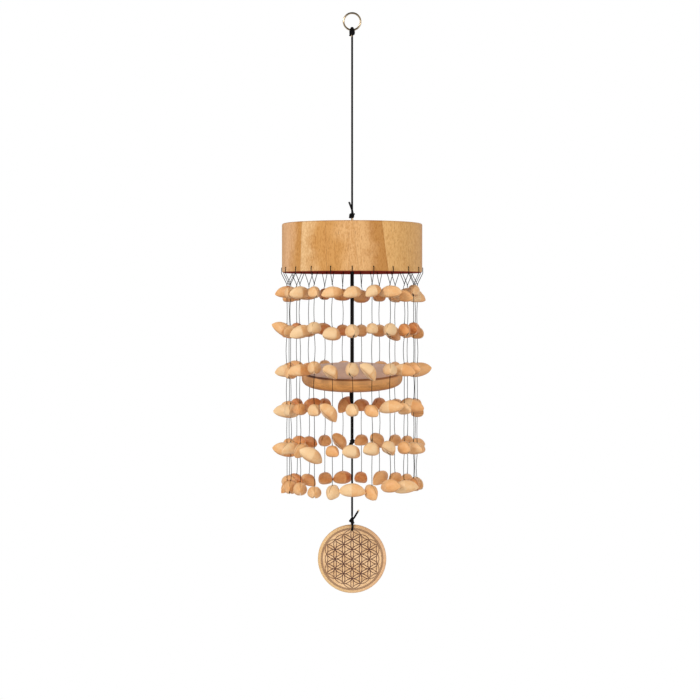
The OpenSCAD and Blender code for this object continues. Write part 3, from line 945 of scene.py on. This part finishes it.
class CHIME_OT_materials(bpy.types.Operator):
    """Makes the chime's materials and gives the carried-over nodes theirs."""

    bl_idname = "chime.materials"
    bl_label = "Materials"

    def execute(self, context):
        """Builds every material from the scene's colours."""
        wood_group()
        braid_group()
        cord_material("Black cord", sizes().cord_black, 6, 0.06)
        cord_material("String", sizes().string_tint, 2, 0.1)
        end_material()
        bar_material()
        for make in (shell_material, wind_material, metal_material, stave_material, striker_material):
            make(sizes())
        for node, name in (("wooden_ring", "Stave wood"), ("striker_disc", "Striker wood"),
                           ("crossbar", "Bar wood")):
            slots = frame["nodes"][node].data.materials
            slots.clear()
            slots.append(bpy.data.materials[name])
        return {"FINISHED"}


class CHIME_OT_ring(bpy.types.Operator):
    """Bends the metal ring that the chime hangs from."""

    bl_idname = "chime.ring"
    bl_label = "Hanging ring"

    def execute(self, context):
        """Adds the closed ring of round wire."""
        wire = sizes().ring_wire / 2
        centre = middle("hang_ring")
        bend = (RING_HIGH.x - RING_LOW.x) / 2 + RING_ROOM - wire
        turns, girth = 160, 28
        around, about = np.meshgrid(np.arange(turns) * 2 * math.pi / turns,
                                    np.arange(girth) * 2 * math.pi / girth, indexing="ij")
        far = bend + wire * np.cos(about)
        points = np.stack([centre.x + far * np.cos(around), centre.y + wire * np.sin(about),
                           centre.z + far * np.sin(around)], -1).reshape(-1, 3)
        made = mesh_object("metal_hanging_ring", points, grid_faces(turns, girth, closed=True).tolist())
        made.data.materials.append(bpy.data.materials["Ring brass"])
        placed(made, "hanger", "hang_ring")
        return {"FINISHED"}


class CHIME_OT_cords(bpy.types.Operator):
    """Makes the hanging cords between the knots."""

    bl_idname = "chime.cords"
    bl_label = "Cords"

    def execute(self, context):
        """Adds the single cords and the strands of the doubled one."""
        main_low, knot_low, knot_high = (
            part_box("suspension_cord")[0].z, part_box("striker_knot")[0].z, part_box("striker_knot")[1].z)
        self.hang("main_cord", "main_cord", "suspension_cord", middle("suspension_cord").x, 0,
                  joint_place("cord_sway").z, main_low, 40)
        self.hang("wind_disc_cord", "wind_line", "wind_cord", 0, 0, joint_place("wind_swing").z,
                  joint_place("wind_turn").z, 24)
        pair = (("left", -PAIR_HALF * MM), ("right", PAIR_HALF * MM))
        for side, x in pair:
            self.hang(f"striker_cord_{side}", "clapper", "clapper_cord", x, 0,
                      joint_place("clapper_swing").z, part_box("clapper_cord")[0].z, 40)
        for side, x in pair:
            self.hang(f"lower_cord_{side}", "clapper", "striker_knot", 0.55 * x, 0.83 * x,
                      knot_high - 7 * MM, knot_low, 30)
        return {"FINISHED"}

    def hang(self, name, body, node, x, y, high, low, count):
        """One straight piece of cord along its route."""
        route = np.linspace((x, y, high), (x, y, low), count)
        diameter = sizes().cord_d
        piece = tube_object(name, [(route, diameter / 2, 0)], ["Black cord"])
        placed(piece, body, node)


class CHIME_OT_knots(bpy.types.Operator):
    """Ties the knots of the black cord."""

    bl_idname = "chime.knots"
    bl_label = "Knots"

    def execute(self, context):
        """Adds each knot with its loop, doubled cord or loose end."""
        cord, pulled = sizes().cord_d / MM, sizes().knot_cord_d / MM
        joining, stop = middle("lower_knot"), (0, 0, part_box("striker_knot")[1].z - 4.6 * MM)
        for name, body, node, tubes in (
                ("ring_loop_knot", "ring_tie", "ring_knot", self.ring(cord)),
                ("upper_tied_knot", "main_cord", "upper_knot", self.upper(cord)),
                ("bar_stop_knot", "main_cord", "bar_knot", [
                    knot_tube(middle("bar_knot"), pulled, (0, 0, 0.9))]),
                ("cord_joining_knot", "clapper", "lower_knot", [
                    knot_tube(joining, 2.4, (0, 0, 0.3), keep=(0.12, 0.12)),
                    knot_tube(joining, 2.0, (0.4, 1.2, 1.4), (0.5, 0, 0.8), body=1.5),
                    straight_tube(joining, 2.7, (0.9, -0.3, 2.4), (-0.9, -0.3, -1.4)),
                    curved_tube(joining, 1.25, (-1.0, -1.8, -0.6), (-2.8, -2.2, -2.8), (-4.6, -1.6, -4.6))]),
                ("striker_stop_knot", "clapper", "striker_knot", [
                    knot_tube(stop, pulled, (0, 0, 1.3)),
                    curved_tube(stop, 1.15, (-1.6, -1.0, -2.0), (-2.6, -1.2, -7.0), (-2.4, -1.2, -13.0),
                                (-1.7, -1.4, -20.0))]),
                ("wind_loop_knot", "wind_tie", "wind_loop", self.wind(cord))):
            placed(tube_object(name, tubes, ["Black cord", "Melted cord end"]), body, node)
        return {"FINISHED"}

    def ring(self, cord):
        """The loop over the ring's wire and the wide knot under it, with its cut end."""
        wire = joint_place("ring_rock")
        sway = (joint_place("cord_sway").z - wire.z) / MM
        tubes = []
        for side in (-1, 1):
            bow = [(x * side, y, z) for x, y, z in (
                (2.7, -2.0, -5.4), (2.7, -2.8, -2.2), (1.8, -2.85, 0.6), (0.9, -1.9, 2.6), (0.65, 0.0, 3.1),
                (0.9, 1.9, 2.6), (1.8, 2.85, 0.6), (2.7, 2.8, -2.2), (2.5, 1.8, -5.2))]
            tubes += [(smooth_route(spots(wire, *bow), 5), 1.3 * MM, 0),
                      knot_tube(wire, 2.2, (0, 0, 0.2 + side), (1.3 * side, 0, -4.9 + 0.4 * side), body=1.4)]
        return tubes + [
            straight_tube(wire, cord / 2, (0, 0, -4), (0, 0, sway), 6),
            straight_tube(wire, 2.3, (0, -1.0, -2.4), (0, -1.0, -6.4)),
            straight_tube(wire, 0.8, (-0.9, -1.2, -7.4), (-0.8, -1.4, -8.9), 4, 1)]

    def upper(self, cord):
        """The knot over the wooden ring, with its loose end and the doubled cord below."""
        place = (0, 0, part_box("suspension_cord")[0].z - 5.2 * MM)
        half, deep = PAIR_HALF, (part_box("upper_knot")[0].z - place[2]) / MM
        return [knot_tube(place, 2.6, (0, 0, 0.3), body=1.2),
                knot_tube(place, 2.4, (0.5, 1.3, 2.0), body=1.2),
                straight_tube(place, 3.1, (0, -0.2, 0.9), (0, -0.2, -0.9)),
                straight_tube(place, cord / 2, (0, 0, 7), (0, 0, 0)),
                *(curved_tube(place, 1.05, (0.4 * x, half, -1), (0.45 * x, half, -7), (x, 0, -14),
                              (x, 0, deep)) for x in (-half, half)),
                curved_tube(place, 1.4, (1.0, -1.6, 1.4), (0.7, -2.3, 5.0), (-0.4, -2.3, 9.0),
                            (-2.0, -1.7, 13.4), (-4.0, -0.6, 18.6)),
                straight_tube(place, 1.2, (0.4, -0.6, -3.6), (0.5, -0.8, -6.6), 4, 1)]

    def wind(self, cord):
        """The knot over the wind disc, with its loose end and the loop through the disc's hole."""
        place = (0, 0, joint_place("wind_turn").z - 6.05 * MM)
        bridge = joint_place("wind_rock")
        radius, sway, reach = 5.88, 0.5, 2.6
        bow = [(sway * math.sin(a), -radius * math.sin(a), -radius * math.cos(a))
               for a in np.linspace(-reach, reach, 25)]
        loop = [*spots(place, (-0.6, 1.0, -1)), *spots((0, 0, bridge.z), *bow),
                *spots(place, (0.6, -1.0, -1))]
        end = (8.4, -0.2, 12.2)
        return [(smooth_route(loop, 3), (cord / 2 + 0.05) * MM, 0),
                knot_tube(place, 2.4, (0, 0, 0.7), keep=(0.35, 0)),
                knot_tube(place, 2.3, (0.3, 0.5, 2.2), (0.4, 0, -3.0), body=1.3),
                straight_tube(place, 2.3, (0, -0.3, 0.5), (0.2, -0.3, -3.4)),
                curved_tube(place, 1.35, (0.6, -1.2, 0.5), (3.0, -1.6, 3.4), (5.6, -1.0, 7.6), end),
                straight_tube(place, 1.35, end, (9.1, 0, 13.3), 4, 1)]


class CHIME_OT_shells(bpy.types.Operator):
    """Hangs the nut shells, their strings and the strings' knots."""

    bl_idname = "chime.shells"
    bl_label = "Shells and strings"

    def execute(self, context):
        """Builds each string with its six shells."""
        set_up = sizes()
        half_l, half_d = set_up.shell_l / MM / 2, set_up.shell_h / MM / 2
        shells = stock("Shell styles", [
            shell_object(number, style, half_l, half_d, set_up.shell_wall / MM)
            for number, style in enumerate(SHELL_STYLES)])
        knots = stock("String knots", [string_knot(set_up.bead_d)])
        random = np.random.default_rng(7)
        for k in range(STRANDS):
            strand = f"strand_{k + 1:02d}"
            found = shell_places(f"{strand}_nuts")
            self.hang(strand, found, shells, self.tones(random, k), random, set_up)
            self.string(strand, found, knots, random, set_up)
        clear_stock(shells)
        clear_stock(knots)
        return {"FINISHED"}

    def tones(self, random, k):
        """Tone of each shell on a string: paler in front, warmer behind, and some listed."""
        # The trend from front to back is painted shade: shells behind are darker and warmer.
        front = 0.5 + 0.5 * math.cos(k * STEP)
        tones = random.normal(0.60 - 0.38 * front, 0.09, ROWS)
        for tone, chosen in SET_TONES:
            for row in chosen.get(k, ()):
                tones[row] = tone
        return np.clip(tones, 0.0, 0.95)

    def hang(self, strand, found, shells, tones, random, set_up):
        """One string's shells as a single mesh, each turned end for end or not at random."""
        styles = random.integers(0, len(SHELL_STYLES), ROWS)
        turned = [turn.to_matrix() @ Euler((0, 0, math.pi * random.integers(0, 2))).to_matrix()
                  for _, turn, _, _ in found]
        layers = {"turn": [tuple(way.to_euler()) for way in turned],
                  # Facing: which way the shell's long axis points along world X, so that the painted light
                  # pales its left half.
                  "facing": [way[0][0] for way in turned],
                  "size": [long / set_up.shell_l for _, _, long, _ in found],
                  "style": styles, "tone": tones, "seed": random.uniform(0, 40, ROWS)}
        set_on_points([place for place, *_ in found], layers, shells, "Nut shell", SHELL_GROWTH,
                      f"{strand}_shells", strand, f"{strand}_nuts")

    def string(self, strand, found, knots, random, set_up):
        """One string as a cord, with its knots over and inside the shells."""
        node = f"{strand}_string"
        low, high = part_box(node)
        x, y = (low.x + high.x) / 2, (low.y + high.y) / 2
        route = self.route(x, y, high.z, low.z + GAP, [place.z for place, *_ in found], random)
        piece = tube_object(f"{strand}_thread", [(route, set_up.string_d / 2, 0)], ["String"], 8)
        placed(piece, strand, node)
        places = [(x, y, high.z - GAP)]
        for row, (place, _, long, up) in enumerate(found):
            size = long / set_up.shell_l
            top = place + up * (set_up.shell_h / 2 * size)
            if row:
                places.append((x, y, top.z + (set_up.bead_d / 2 + GAP) / up.z))
            places.append((x, y, top.z - INNER_KNOT_DROP * size / up.z))
        layers = {"turn": [(0, 0, random.uniform(0, 6)) for _ in places], "size": [0.8] * len(places),
                  "style": [0] * len(places)}
        tied = set_on_points(places, layers, knots, "String", 1.0, f"{strand}_thread_knots", strand,
                             node)

    def route(self, x, y, high, low, levels, random):
        """A string's line: straight through each shell and a little bowed between shells."""
        points = [(x, y, high)]
        for above, below in zip([high, *levels], levels):
            above = above - (0 if above == high else SHELL_HALF)
            below = below + SHELL_HALF
            turn, bow = random.uniform(0, 2 * math.pi), random.uniform(0.3, 1.0) * STRING_BOW
            for share in (0.0, 0.25, 0.5, 0.75, 1.0):
                far = bow * math.sin(math.pi * share)
                points.append((x + far * math.cos(turn), y + far * math.sin(turn),
                               above + (below - above) * share))
        points.append((x, y, low))
        return np.array([point for number, point in enumerate(points)
                         if not number or points[number - 1][2] - point[2] > 1e-5])


class CHIME_OT_rim_threads(bpy.types.Operator):
    """Threads the strings' loops through the wooden ring."""

    bl_idname = "chime.rim_threads"
    bl_label = "Rim threads"

    def execute(self, context):
        """Adds the loop of each string, all of one route, and the knot under it."""
        radius = LOOP_SHARE * sizes().string_d / 2
        middle_r = DRUM_HIGH.x - DRUM_WALL / 2
        out_y = DRUM_WALL / 2 + radius + GAP
        top_z, low_z = DRUM_LOW.z + 7 * MM, DRUM_LOW.z - radius - GAP
        leg_z = DRUM_LOW.z - 16.5 * MM
        corner = 0.5 * MM
        corners = [Vector(at) for at in ((0, leg_z), (-out_y, low_z), (-out_y, top_z), (out_y, top_z),
                                         (out_y, low_z), (0, leg_z))]
        route = [corners[0]]
        for before, at, after in zip(corners, corners[1:], corners[2:]):
            back, on = (before - at).normalized(), (after - at).normalized()
            route += [at + back * corner, at + (back + on) * corner * 0.25, at + on * corner]
        route.append(corners[-1])
        source = mesh_object("rim_route", [(0, y - middle_r, z) for y, z in route],
                             edges=[(i, i + 1) for i in range(len(route) - 1)])
        inputs = {"Count": STRANDS, "Thread Radius": radius, "Material": bpy.data.materials["String"]}
        grown(source, loops_group(), inputs, "rim_threads", "drum", "rim_loops")
        knots = stock("Loop knots", [string_knot(1.9 * MM)])
        turns = np.arange(STRANDS)
        layers = {"turn": [(0, 0, 2.4 * k) for k in turns], "size": np.ones(STRANDS), "style": 0 * turns}
        places = [(middle_r * math.sin(k * STEP), -middle_r * math.cos(k * STEP), leg_z) for k in turns]
        set_on_points(places, layers, knots, "String", 1.0, "rim_thread_knots", "drum",
                      "rim_loops")
        clear_stock(knots)
        return {"FINISHED"}


class CHIME_OT_wind_disc(bpy.types.Operator):
    """Makes the engraved wind disc."""

    bl_idname = "chime.wind_disc"
    bl_label = "Wind disc"

    def execute(self, context):
        """Turns the disc, drills its hole, and cuts the pattern into its front."""
        radius, half = WIND_HIGH.x, WIND_HIGH.y
        profile = [(FLAT_R + (radius - FLAT_R) * math.sin(a), -half + FRONT_ROUND * (1 - math.cos(a)))
                   for a in np.linspace(0, math.pi / 2, 10)[1:]]
        profile += [(radius - BACK_ROUND * (1 - math.cos(a)), half - BACK_ROUND * (1 - math.sin(a)))
                    for a in np.linspace(0, math.pi / 2, 6)]
        profile += [(r, half) for r in np.linspace(radius - BACK_ROUND, 0, 6)[1:]]
        disc = self.turned(profile, -half)
        disc.location = (0, 0, WIND_MIDDLE.z)
        bpy.ops.mesh.primitive_cylinder_add(vertices=64, radius=HOLE_D / 2, depth=30 * MM,
                                            location=(0, 0, WIND_MIDDLE.z + HOLE_UP),
                                            rotation=(math.pi / 2, 0, 0))
        cutter = bpy.context.object
        cutter.scale.x = HOLE_SQUEEZE
        modifier = disc.modifiers.new("Hole", "BOOLEAN")
        modifier.object = cutter
        modifier.solver = "EXACT"
        mesh = settled(disc, "engraved_wind_disc")
        bpy.data.objects.remove(cutter)
        points = coordinates(mesh)
        far = np.hypot(points[:, 0], points[:, 2]) / MM
        front = points[:, 1] < -half + 0.05 * MM
        groove = self.pattern(points[:, 0] / MM, points[:, 2] / MM)
        groove[~front] = OFF_PATTERN
        line = np.clip((sizes().line_w / MM / 2 + 0.15 - groove) / 0.3, 0, 1)
        band = np.clip((far - BAND[0]) / 0.4, 0, 1) * np.clip((BAND[1] - far) / 0.4, 0, 1)
        points[:, 1] += (LINE_DEPTH * line + BAND_DEPTH * band) * front * MM
        points[:, 2] += WIND_MIDDLE.z
        mesh.vertices.foreach_set("co", points.ravel())
        mesh.attributes.new("groove", "FLOAT", "POINT").data.foreach_set("value", groove)
        mesh.materials.clear()
        mesh.materials.append(bpy.data.materials["Wind disc wood"])
        mesh.shade_smooth()
        placed(linked("engraved_wind_disc", mesh), "wind_catcher", "wind_disc")
        return {"FINISHED"}

    def turned(self, profile, depth):
        """A disc about Y: an even fan of triangles over its front, then a profile's rings to the back."""
        rings = FRONT_RINGS
        points, faces, start = [(0, depth, 0)], [], [0]
        for ring in range(1, rings + 1):
            start.append(len(points))
            reach = FLAT_R * ring / rings
            angles = np.arange(6 * ring) * math.pi / 3 / ring
            points += [(reach * math.cos(a), depth, reach * math.sin(a)) for a in angles]
        for ring in range(rings):
            for side in range(6):
                for step in range(ring + 1):
                    inner = start[ring] + (side * ring + step) % max(6 * ring, 1)
                    outer = start[ring + 1] + side * (ring + 1) + step
                    after = start[ring + 1] + (side * (ring + 1) + step + 1) % (6 * ring + 6)
                    faces.append((inner, outer, after))
                    if step < ring:
                        faces.append((inner, after, start[ring] + (side * ring + step + 1) % (6 * ring)))
        sides = 6 * rings
        angles = np.arange(sides) * 2 * math.pi / sides
        before = start[rings]
        for r, y in profile[:-1]:
            now = len(points)
            points += [(r * math.cos(a), y, r * math.sin(a)) for a in angles]
            faces += [(before + j, now + j, now + (j + 1) % sides, before + (j + 1) % sides)
                      for j in range(sides)]
            before = now
        faces += [(len(points), before + (j + 1) % sides, before + j) for j in range(sides)]
        points.append((0, profile[-1][1], 0))
        return mesh_object("wind_blank", points, faces)

    def pattern(self, x, z):
        """Distance in mm from each place to the nearest engraved arc, large outside the pattern."""
        petal, half = sizes().petal_r / MM, sizes().line_w / MM / 2
        off, inside = np.full(len(x), OFF_PATTERN), np.full(len(x), 1e3)
        for i in range(-4, 5):
            for j in range(-5, 6):
                cx, cz = petal * math.sqrt(3) / 2 * i, petal * (j + i / 2)
                far = np.hypot(x - cx, z - cz)
                if math.hypot(cx, cz) < 3.7 * petal:
                    off = np.minimum(off, np.abs(far - petal))
                if math.hypot(cx, cz) < 2.01 * petal:
                    inside = np.minimum(inside, far)
        off = np.maximum(off, inside - petal)
        return np.clip(np.maximum(off, np.hypot(x, z) - BAND[0] + half), 0, OFF_PATTERN)


class CHIME_OT_stage(bpy.types.Operator):
    """Sets the floor, the white surroundings and the lamps."""

    bl_idname = "chime.stage"
    bl_label = "Stage"

    def execute(self, context):
        """Adds the stage, which isn't part of the object."""
        self.floor()
        self.surroundings(context)
        for name, place, width, power, tint in LAMPS:
            data = bpy.data.lights.new(name, "AREA")
            data.energy = power
            data.size = width
            data.color = tint
            lamp = linked(name, data)
            lamp.location = place
            lamp.rotation_euler = (LAMP_AIM - lamp.location).to_track_quat("-Z", "Y").to_euler()
        context.scene.view_settings.view_transform = "Standard"
        return {"FINISHED"}

    def floor(self):
        """A round pale floor that fades into the white surroundings."""
        bpy.ops.mesh.primitive_circle_add(vertices=128, radius=FLOOR_R, fill_type="NGON",
                                          location=(0, 0, FLOOR_Z))
        floor = bpy.context.object
        floor.name = "floor"
        tree, surface = new_material("Pale floor", Roughness=0.9, Specular_IOR_Level=0.2,
                                     Base_Color=(0.9, 0.9, 0.9), Emission_Color=(1, 1, 1))
        x, y, _ = object_place(tree).parts()
        fade = far_out(x, y).spread(0.3 * FLOOR_R, 0.97 * FLOOR_R, 0.0, 0.3)
        feed(surface["Emission Strength"],
             fade * result(tree, "ShaderNodeLightPath", output="Is Camera Ray"))
        floor.data.materials.append(bpy.data.materials["Pale floor"])

    def surroundings(self, context):
        """White to the camera, plain light on the object, and brighter sides in what it mirrors."""
        world = bpy.data.worlds.new("White surroundings")
        context.scene.world = world
        world.use_nodes = True
        tree = world.node_tree
        path = add_node(tree, "ShaderNodeLightPath").outputs
        camera, glossy, through = (Value(path[f"Is {name} Ray"])
                                   for name in ("Camera", "Glossy", "Transmission"))
        sides = abs(result(tree, "ShaderNodeTexCoord", output="Generated").parts()[0])
        mirrored = sides.spread(0.3, 0.8, 0.10, 0.95)
        strength = result(tree, "ShaderNodeMix", {0: glossy, 2: AMBIENT, 3: mirrored})
        strength = result(tree, "ShaderNodeMix", {0: calc("MAXIMUM", camera, through), 2: strength, 3: 1.0})
        background = tree.nodes["Background"].inputs
        feed(background["Color"], (1, 1, 1))
        feed(background["Strength"], strength)


class CHIME_PT_panel(bpy.types.Panel):
    """Lists the chime's settings and operators."""

    bl_idname = "CHIME_PT_panel"
    bl_label = "Nut Shell Chime"
    bl_space_type = "VIEW_3D"
    bl_region_type = "UI"
    bl_category = "Chime"

    def draw(self, context):
        """Draws the sizes and colours, then a button for each operator."""
        column = self.layout.column()
        for key in ChimeSizes.__annotations__:
            column.prop(context.scene.chime_sizes, key)
        for operator in OPERATORS:
            column.operator(operator.bl_idname)


OPERATORS = (CHIME_OT_camera, CHIME_OT_materials, CHIME_OT_ring, CHIME_OT_cords, CHIME_OT_knots,
             CHIME_OT_shells, CHIME_OT_rim_threads, CHIME_OT_wind_disc, CHIME_OT_stage)
CLASSES = (ChimeSizes, *OPERATORS, CHIME_PT_panel)


def register():
    """Registers the add-on's classes and its settings."""
    for cls in CLASSES:
        bpy.utils.register_class(cls)
    bpy.types.Scene.chime_sizes = PointerProperty(type=ChimeSizes)


def unregister():
    """Takes the add-on's classes and settings away."""
    del bpy.types.Scene.chime_sizes
    for cls in reversed(CLASSES):
        bpy.utils.unregister_class(cls)


def main():
    """Builds the chime piece by piece."""
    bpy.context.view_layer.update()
    register()
    bpy.ops.chime.camera()
    bpy.ops.chime.materials()
    bpy.ops.chime.ring()
    bpy.ops.chime.cords()
    bpy.ops.chime.knots()
    bpy.ops.chime.shells()
    bpy.ops.chime.rim_threads()
    bpy.ops.chime.wind_disc()
    bpy.ops.chime.stage()


if __name__ == "__main__":
    main()
